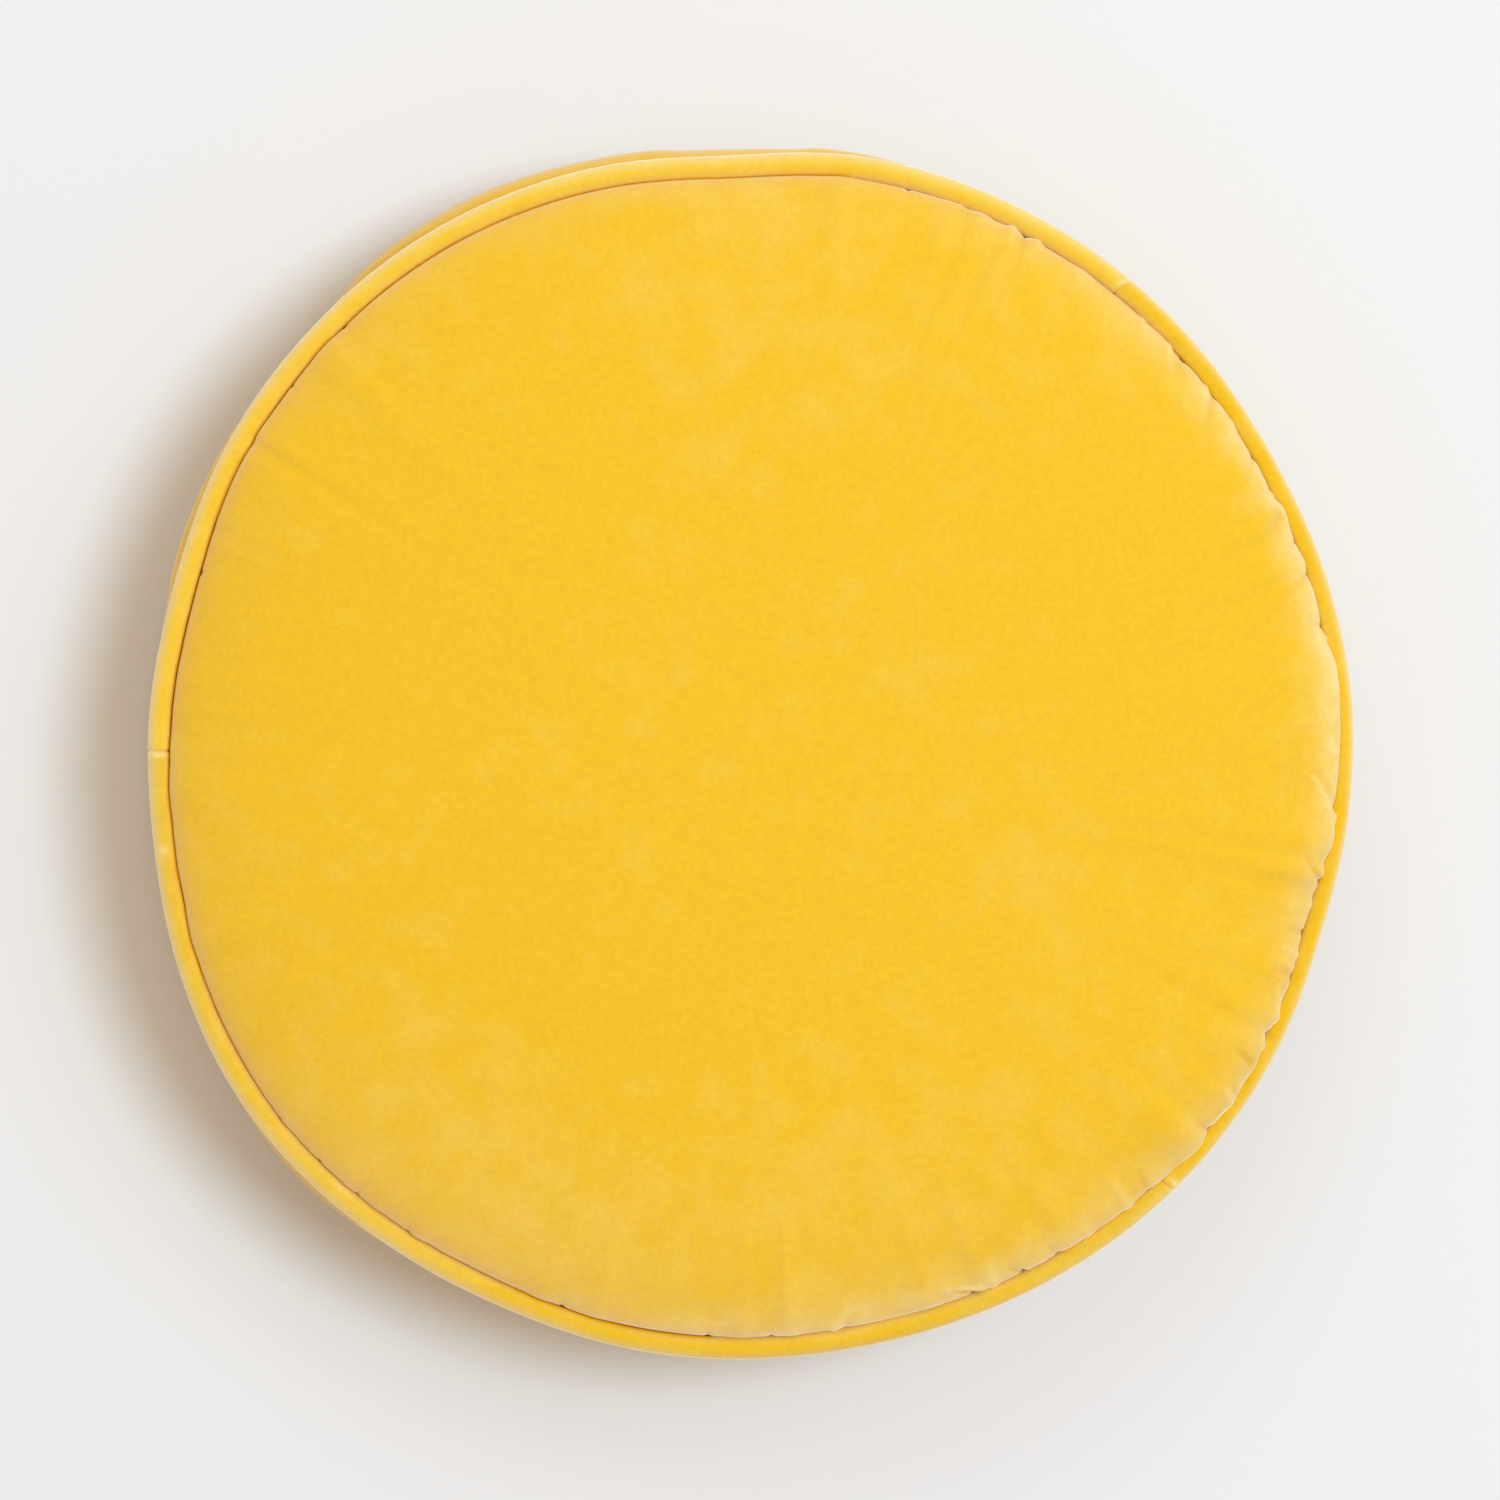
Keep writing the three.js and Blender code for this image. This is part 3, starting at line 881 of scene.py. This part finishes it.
def fold_face(piece):
    """Presses the small folds beside the seam into the finished mesh, and marks where sheen is
    painted on its nap as paleness, and where shade is painted into its creases, its folds and its
    rim."""
    mesh = piece.data
    for name in ("deep", "painted_sheen_and_wear"):
        mesh.attributes.new(name, "FLOAT", "POINT")
    deep = mesh.attributes["deep"].data
    painted_sheen_and_wear = mesh.attributes["painted_sheen_and_wear"].data
    inward = mesh.attributes["inward"].data
    from_seam = mesh.attributes["from_seam"].data
    normals = [normal.vector.copy() for normal in mesh.vertex_normals]
    lines = [FoldLine(fold) for fold in FOLDS]
    creases = []
    for vert in mesh.vertices:
        number = vert.index
        past_seam = inward[number].value
        deg = angle_of(vert.co)
        crease = crease_depth(deg, past_seam, from_seam[number].value)
        creases.append(crease)
        # Shade is painted into the crease, onto the rim at the lower right, and into the folds
        # that sink.
        shade = crease * crease_shade(deg)
        shade += lobe_sum(RIM_SHADE_LOBES, deg) * bell(max(past_seam, 0) / RIM_SHADE_REACH)
        pale = BAND_PALE
        if past_seam > FACE_SHEEN_START:
            pale = face_painted_sheen(vert.co, deg, past_seam)
        if FOLD_START < past_seam < FOLD_REACH:
            inside = front_ring_radius(deg) + PIPING_RADIUS - vert.co.xy.length
            for line in lines:
                if abs(line.along(deg)) < FOLD_REACH:
                    strength = line.strength(deg, inside)
                    vert.co -= normals[number] * FOLD_DEPTH * line.fold.depth * strength * MM
                    pale += FOLD_SHEEN_PAINT * line.fold.pale * strength
                    shade += FOLD_SHADE * max(line.fold.depth, 0) * strength
        deep[number].value = min(shade, 1)
        painted_sheen_and_wear[number].value = min(max(pale, 0), 1)
    first_of_lip, last_of_lip = LIP_STRETCH
    # The creases take the copy without sheen, as painted shade, and the lip its lighter copy, as
    # painted light.
    for polygon in mesh.polygons:
        numbers = polygon.vertices
        if min(creases[number] for number in numbers) > SHEENLESS_CREASE:
            if sheenless_crease_at(angle_of(polygon.center)):
                polygon.material_index = CREASE_MATERIAL
        elif all(-BAND_INSIDE > inward[number].value for number in numbers):
            polygon.material_index = BAND_MATERIAL
        elif all(abs(inward[number].value) < LIP_WIDTH for number in numbers):
            if first_of_lip < angle_of(polygon.center) < last_of_lip:
                polygon.material_index = LIP_MATERIAL


# The piping's painted sheen and its small forms

# How pale the nap is painted, from 0 to 1: evenly on the back piping, and as sheen on the front
# piping
BACK_PIPING_PALE = 0.15
PIPING_SHEEN_PAINT = 0.95
# Less sheen is painted on the outer side of the piping at the bottom
PIPING_SHEEN_PAINT_LOBES = [Lobe(at=284, spread=26, out=-0.85)]
# A faint highlight is painted along the inner side.
INNER_PIPING_HIGHLIGHT = 0.2
INNER_HIGHLIGHT_PLACE = 130
INNER_HIGHLIGHT_SPREAD = 20
# Degrees of the section between which the painted sheen fades, with an end for each strip
PIPING_SHEEN_START = 10
PIPING_SHEEN_REACHES = (110, 110, 85)
JOIN_DEPTH = 0.45 * MM
JOIN_WIDTH = 0.5 * MM
JOIN_REACH = 6 * MM
JOIN_SWELLING = 0.12 * MM
JOIN_SWELLING_PLACE = 3 * JOIN_WIDTH
JOIN_SWELLING_SPREAD = 2 * JOIN_WIDTH
# Degrees over which a join's lean dies away
JOIN_LEAN_SPREAD = 1.5
PIPING_LUMPS = 0.13 * MM
PIPING_LUMP_SIZE = 7 * MM
# Degrees of the section that count as a millimetre for the lumps
LUMP_TURN = 15


def piping_painted_sheen(deg, side, reach):
    """How much sheen is painted on the front piping, as paleness of its nap, at an angle of its
    section, with its pale patches. From its outer side the painted sheen reaches so many degrees
    round it."""
    pale = PIPING_SHEEN_PAINT * (1 + lobe_sum(PIPING_SHEEN_PAINT_LOBES, deg))
    pale *= 1 - smooth(PIPING_SHEEN_START, reach, side)
    pale += INNER_PIPING_HIGHLIGHT * bell((side - INNER_HIGHLIGHT_PLACE) / INNER_HIGHLIGHT_SPREAD)
    inside = PIPING_RADIUS * (1 - math.cos(math.radians(side)))
    for patch in PIPING_PATCHES:
        along = math.radians(turn_between(patch.at, deg)) * FRONT_RING_RADIUS
        if side < 180 and abs(along) < PATCH_ENDS * patch.along * MM:
            across = inside - patch.inside * MM
            leaning = (along - patch.lean * across) / (patch.along * MM)
            pale += patch.pale * bell(leaning) * bell(across / (patch.across * MM))
    return pale


def join_groove(deg):
    """How far the piping is drawn in beside a join, less its swelling on both sides of it."""
    groove = 0
    for join in PIPING_JOINS:
        along = abs(math.radians(turn_between(join.at, deg)) * FRONT_RING_RADIUS)
        if along < JOIN_REACH:
            past_groove = (along - JOIN_SWELLING_PLACE) / JOIN_SWELLING_SPREAD
            groove += JOIN_DEPTH * bell(along / JOIN_WIDTH)
            groove -= JOIN_SWELLING * bell(past_groove)
    return groove


def join_lean(deg, side):
    """Degrees that the cord turns forwards at an angle of its section, so that a join slants."""
    lean = 0
    for join in PIPING_JOINS:
        lean += join.slant * bell(turn_between(join.at, deg) / JOIN_LEAN_SPREAD)
    return lean * math.cos(math.radians(side))


def turned_cord(span):
    circle = []
    for i in range(PIPING_SIDES):
        side = math.tau * i / PIPING_SIDES
        across = BACK_RING_RADIUS + PIPING_RADIUS * math.cos(side)
        circle.append((across, PIPING_RADIUS * math.sin(side)))
    bm = turned(circle, round(span / PIPING_COLUMN), closed=True, degrees=span)
    cut_columns(bm, PIPING_CUTS)
    return bm


def lumps(co):
    return PIPING_LUMPS * noise.noise(co / PIPING_LUMP_SIZE)


def cord_side(number, touch):
    """Angle of the front piping's section at one of its points, where the face leaves it at the
    angle touch."""
    if number <= SHEEN_END_POINT:
        return (touch - SHEEN_END_TURN) * number / SHEEN_END_POINT
    if number < CREASE_POINT:
        return touch - CREASE_TURN
    hidden = PIPING_SIDES - CREASE_POINT
    return touch + (360 - touch) * (number - CREASE_POINT) / hidden


def front_strip(name, first, last, pale_reach):
    """One strip of the covered cord in the front seam, from one join to the next."""
    span = last - first
    bm = turned_cord(span)
    bmesh.ops.holes_fill(bm, edges=[edge for edge in bm.edges if edge.is_boundary])
    row = bm.verts.layers.int["row"]
    deep = bm.verts.layers.float.new("deep")
    painted_sheen_and_wear = bm.verts.layers.float.new("painted_sheen_and_wear")
    for vert in bm.verts:
        turn = angle_of(vert.co)
        if turn > span + PIPING_COLUMN / 2:
            turn -= 360
        share = turn / span
        share -= PIPING_CROWDING * math.sin(math.tau * share) / math.tau
        deg = first + span * share
        cord = cord_radius(deg)
        touch = face_touch(cord, piping_shown(deg))
        side = cord_side(vert[row], touch)
        outside = max(touch - side, side - (360 - BAND_TOUCH), 0)
        # Shade is painted on the piping towards its crease, and sheen as paleness of its nap.
        vert[deep] = crease_shade(deg) * (1 - smooth(0, CREASE_SHADE_TURN, outside))
        vert[painted_sheen_and_wear] = min(max(piping_painted_sheen(deg, side, pale_reach), 0), 1)
        radius = cord - join_groove(deg)
        radius -= abs(lumps(polar(FRONT_RING_RADIUS, deg, side * MM / LUMP_TURN)))
        across = front_ring_radius(deg) + radius * math.cos(math.radians(side))
        height = front_ring_height(deg) + radius * math.sin(math.radians(side))
        vert.co = polar(across, deg + join_lean(deg, side), height)
    # Faces in the crease take the copy of the velvet without sheen, as painted shade.
    for face in bm.faces:
        points = [vert[row] for vert in face.verts]
        if SHEEN_END_POINT <= min(points) and max(points) <= BAND_POINT:
            if sheenless_crease_at(angle_of(face.calc_center_median())):
                face.material_index = CREASE_MATERIAL
    return new_piece(name, bm)


def back_ring():
    """The closed ring of covered cord in the back seam."""
    bm = turned_cord(360)
    row = bm.verts.layers.int["row"]
    deep = bm.verts.layers.float.new("deep")
    painted_sheen_and_wear = bm.verts.layers.float.new("painted_sheen_and_wear")
    for vert in bm.verts:
        deg = angle_of(vert.co)
        side = 360 * vert[row] / PIPING_SIDES
        outside = max(BAND_TOUCH - side, side - BACK_TOUCH, 0)
        # Shade is painted on the back piping towards its creases.
        vert[deep] = CREASE_SHADE * (1 - smooth(0, CREASE_TURN, outside))
        vert[painted_sheen_and_wear] = BACK_PIPING_PALE
        radius = PIPING_RADIUS - abs(lumps(vert.co))
        across = BACK_RING_RADIUS + radius * math.cos(math.radians(side))
        vert.co = polar(across, deg, BACK_SEAM_HEIGHT + radius * math.sin(math.radians(side)))
    return new_piece("back_piping", bm)


# Materials

def node(tree, kind, **values):
    made = tree.nodes.new(kind)
    for name, value in values.items():
        setattr(made, name, value)
    return made


def set_inputs(made, values):
    for name, value in values.items():
        made.inputs[name].default_value = value


def noise_field(tree, size, octaves):
    field = node(tree, "ShaderNodeTexNoise")
    set_inputs(field, {"Scale": 1 / size, "Detail": octaves})
    tree.links.new(tree.nodes["place"].outputs["Object"], field.inputs["Vector"])
    return field.outputs["Fac"]


def maths(tree, operation, first, second, third=None, clamp=False):
    """A Math node. Each value is a number or an output to link."""
    made = node(tree, "ShaderNodeMath", operation=operation, use_clamp=clamp)
    for socket, value in zip(made.inputs, (first, second, third)):
        if value is None:
            continue
        if isinstance(value, bpy.types.NodeSocket):
            tree.links.new(value, socket)
        else:
            socket.default_value = value
    return made.outputs[0]


def mixed(tree, share, first, second):
    """A Mix node for colours."""
    made = node(tree, "ShaderNodeMix", data_type="RGBA")
    for name, value in (("Factor_Float", share), ("A_Color", first), ("B_Color", second)):
        socket = next(s for s in made.inputs if s.identifier == name)
        if isinstance(value, bpy.types.NodeSocket):
            tree.links.new(value, socket)
        else:
            socket.default_value = value
    return next(s for s in made.outputs if s.identifier == "Result_Color")


NAP_ROUGHNESS = 0.85
# How much rougher the nap is where it is fully pale by its mottling
ROUGHNESS_SWING = 0.3


def velvet_nap():
    """Short pile: the shade painted in the crease, the sheen and wear painted as paleness, and its
    mottling.
    """
    group = bpy.data.node_groups.new("velvet nap", "ShaderNodeTree")
    sockets = (
        ("Color", "INPUT", ("Colour", "Pale colour", "Crease shade colour")),
        ("Float", "INPUT", ("Pale", "Crease", "Blotches", "Mottle", "Grain")),
        ("Color", "OUTPUT", ("Color",)),
        ("Float", "OUTPUT", ("Roughness",)),
        ("Vector", "OUTPUT", ("Normal",)),
    )
    for kind, side, names in sockets:
        for name in names:
            group.interface.new_socket(name=name, in_out=side, socket_type=f"NodeSocket{kind}")
    given = node(group, "NodeGroupInput").outputs
    result = node(group, "NodeGroupOutput").inputs
    node(group, "ShaderNodeTexCoord", name="place")
    blotches = noise_field(group, size=120 * MM, octaves=2)
    mottle = noise_field(group, size=14 * MM, octaves=3)
    grain = noise_field(group, size=2.2 * MM, octaves=3)
    unevenness = 0
    for field, strength in ((blotches, "Blotches"), (mottle, "Mottle")):
        swing = maths(group, "SUBTRACT", field, 0.5)
        unevenness = maths(group, "MULTIPLY_ADD", swing, given[strength], unevenness)
    # The painted sheen and wear add to the random mottling, and both mix the colour towards the
    # pale one.
    pale = maths(group, "ADD", unevenness, given["Pale"], clamp=True)
    colour = mixed(group, pale, given["Colour"], given["Pale colour"])
    swing = maths(group, "SUBTRACT", grain, 0.5)
    brightness = maths(group, "MULTIPLY_ADD", swing, given["Grain"], 1)
    lit = node(group, "ShaderNodeHueSaturation")
    group.links.new(colour, lit.inputs["Color"])
    group.links.new(brightness, lit.inputs["Value"])
    # Shade is painted into the creases by mixing towards the crease shade colour.
    creased = mixed(group, given["Crease"], lit.outputs["Color"], given["Crease shade colour"])
    group.links.new(creased, result["Color"])
    roughness = maths(
        group, "MULTIPLY_ADD", unevenness, ROUGHNESS_SWING, NAP_ROUGHNESS, clamp=True
    )
    group.links.new(roughness, result["Roughness"])
    bump = node(group, "ShaderNodeBump")
    set_inputs(bump, {"Strength": 0.25, "Distance": 0.3 * MM})
    group.links.new(grain, bump.inputs["Height"])
    group.links.new(bump.outputs["Normal"], result["Normal"])
    return group


def attribute(tree, name):
    return node(tree, "ShaderNodeAttribute", attribute_name=name).outputs["Fac"]


def velvet_material(name, group, colour, sheen=1, specular=0.1):
    material = bpy.data.materials.new(name)
    material.use_nodes = True
    tree = material.node_tree
    nap = node(tree, "ShaderNodeGroup", node_tree=group)
    set_inputs(nap, {
        "Colour": (*colour, 1),
        "Pale colour": (*PALE_SHEEN_AND_MOTTLE_COLOUR, 1),
        "Crease shade colour": (*CREASE_SHADE_COLOUR, 1),
        "Blotches": 0.35,
        "Mottle": 0.42,
        "Grain": 0.2,
    })
    tree.links.new(attribute(tree, "deep"), nap.inputs["Crease"])
    tree.links.new(attribute(tree, "painted_sheen_and_wear"), nap.inputs["Pale"])
    shader = tree.nodes["Principled BSDF"]
    tree.links.new(nap.outputs["Color"], shader.inputs["Base Color"])
    tree.links.new(nap.outputs["Roughness"], shader.inputs["Roughness"])
    tree.links.new(nap.outputs["Normal"], shader.inputs["Normal"])
    set_inputs(shader, {
        "Sheen Weight": sheen,
        "Sheen Roughness": 0.5,
        "Sheen Tint": (1, 0.97, 0.85, 1),
        "Specular IOR Level": specular,
    })
    return material


# The studio

PHOTO_PIXELS = 1500
MM_PER_PIXEL = 0.3538
SENSOR_MM = 36
CAMERA_DISTANCE = 1900 * MM
# The camera leans this far off straight above, towards an angle.
CAMERA_TILT = 4
CAMERA_TILT_TOWARDS = 140
AIM_OFFSET = 1.6 * MM
# How far the cushion lies off the middle of the photograph, to the right and up
OFF_MIDDLE = Vector((-1.2, -0.85, 0)) * MM
# The top of the photograph
UP = Vector((0, 1, 0))
# These two are in metres.
FLOOR_HALF = 6
LIGHT_DISTANCE = 5


def direction(azimuth, elevation):
    return polar(math.cos(math.radians(elevation)), azimuth, math.sin(math.radians(elevation)))


def facing(location, target):
    """The turn of a camera or light at location that looks at target."""
    backward = (location - target).normalized()
    right = UP.cross(backward).normalized()
    return Matrix((right, backward.cross(right), backward)).transposed().to_quaternion()


def add_camera():
    data = bpy.data.cameras.new("camera")
    data.sensor_width = SENSOR_MM
    data.lens = SENSOR_MM * CAMERA_DISTANCE / (PHOTO_PIXELS * MM_PER_PIXEL * MM)
    target = polar(AIM_OFFSET, CAMERA_TILT_TOWARDS, FRONT_SEAM_HEIGHT) - OFF_MIDDLE
    camera = bpy.data.objects.new("camera", data)
    camera.location = target + CAMERA_DISTANCE * direction(CAMERA_TILT_TOWARDS, 90 - CAMERA_TILT)
    camera.rotation_mode = "QUATERNION"
    camera.rotation_quaternion = facing(camera.location, target)
    bpy.context.scene.collection.objects.link(camera)
    bpy.context.scene.camera = camera


def add_disk_light(name, azimuth, elevation, width, watts, colour):
    data = bpy.data.lights.new(name, "AREA")
    data.shape = "DISK"
    data.size = width
    data.energy = watts
    data.color = colour
    light = bpy.data.objects.new(name, data)
    light.location = LIGHT_DISTANCE * direction(azimuth, elevation)
    light.rotation_mode = "QUATERNION"
    light.rotation_quaternion = facing(light.location, Vector())
    light.visible_camera = False
    bpy.context.scene.collection.objects.link(light)


def add_floor():
    material = bpy.data.materials.new("pale floor")
    material.use_nodes = True
    set_inputs(material.node_tree.nodes["Principled BSDF"], {
        "Base Color": (0.75, 0.755, 0.76, 1),
        "Roughness": 0.8,
        "Specular IOR Level": 0.1,
    })
    bm = bmesh.new()
    bmesh.ops.create_grid(bm, x_segments=1, y_segments=1, size=FLOOR_HALF)
    floor = new_piece("floor", bm)
    floor.data.materials.append(material)


def light_studio():
    world = bpy.data.worlds.new("studio")
    world.use_nodes = True
    background = world.node_tree.nodes["Background"]
    set_inputs(background, {"Color": (1, 0.83, 0.67, 1), "Strength": 0.66})
    bpy.context.scene.world = world
    add_disk_light("key light", 20, 69, width=1.7, watts=134, colour=(0.69, 0.87, 1))
    add_disk_light("low light", 30, 55, width=2.5, watts=45, colour=(0.65, 0.71, 1))
    add_disk_light("fill light", 100, 45, width=3, watts=35, colour=(0.96, 1, 0.97))
    bpy.context.scene.view_settings.view_transform = "Standard"


# Putting the pieces together

def place(piece, slot, replaced, *materials):
    """Gives a piece its materials and its body, and hides the imported part that it stands for."""
    for material in materials:
        piece.data.materials.append(material)
    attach(piece, "root")
    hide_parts(replaced)


FACE_COLOUR = (0.79, 0.467, 0.0085)
LIT_LIP_COLOUR = (0.83, 0.5, 0.0085)
PIPING_COLOUR = (0.80, 0.492, 0.011)
SHADED_LOWER_PIPING_COLOUR = (0.735, 0.445, 0.010)
RICH_COLOUR = (0.765, 0.452, 0.004)
# The nap's random mottling and its painted sheen mix towards this colour.
PALE_SHEEN_AND_MOTTLE_COLOUR = (0.84, 0.63, 0.2)
# Painted shade in the creases mixes towards this colour.
CREASE_SHADE_COLOUR = (0.62, 0.30, 0.005)

nap = velvet_nap()
velvet = velvet_material("cushion velvet", nap, FACE_COLOUR)
piping_velvet = velvet_material("piping velvet", nap, PIPING_COLOUR)
# The strips of the piping were cut differently to the nap, and one looks deeper. The lower strip
# is painted darker, as shade on the side away from the lamps.
shaded_lower_velvet = velvet_material("shaded lower piping velvet", nap, SHADED_LOWER_PIPING_COLOUR)
rich_velvet = velvet_material("rich piping velvet", nap, RICH_COLOUR)
# The creases take a copy without sheen or gloss, as painted shade, and the nap lies along the
# band.
# The lip's copy has less sheen and a lighter colour, as painted light.
crease_velvet = velvet_material("shaded crease velvet", nap, FACE_COLOUR, sheen=0, specular=0)
band_velvet = velvet_material("band velvet", nap, FACE_COLOUR, sheen=0.4)
lit_lip_velvet = velvet_material("lit lip velvet", nap, LIT_LIP_COLOUR, sheen=0.25)

add_camera()
cushion = body_blank()
subdivide(cushion)
fold_face(cushion)
place(cushion, "velvet", "cushion_body", velvet, crease_velvet, band_velvet, lit_lip_velvet)

joins = [join.at for join in PIPING_JOINS]
strip_velvets = (piping_velvet, shaded_lower_velvet, rich_velvet)
strips = zip(joins, joins[1:] + [joins[0] + 360], strip_velvets, PIPING_SHEEN_REACHES)
for number, (join, next_join, material, pale_reach) in enumerate(strips, 1):
    strip = front_strip(f"front_piping_{number}", join, next_join, pale_reach)
    place(strip, "piping_velvet", f"piping_front_{number}", material, crease_velvet)
place(back_ring(), "piping_velvet", "piping_back", piping_velvet)

add_floor()
light_studio()
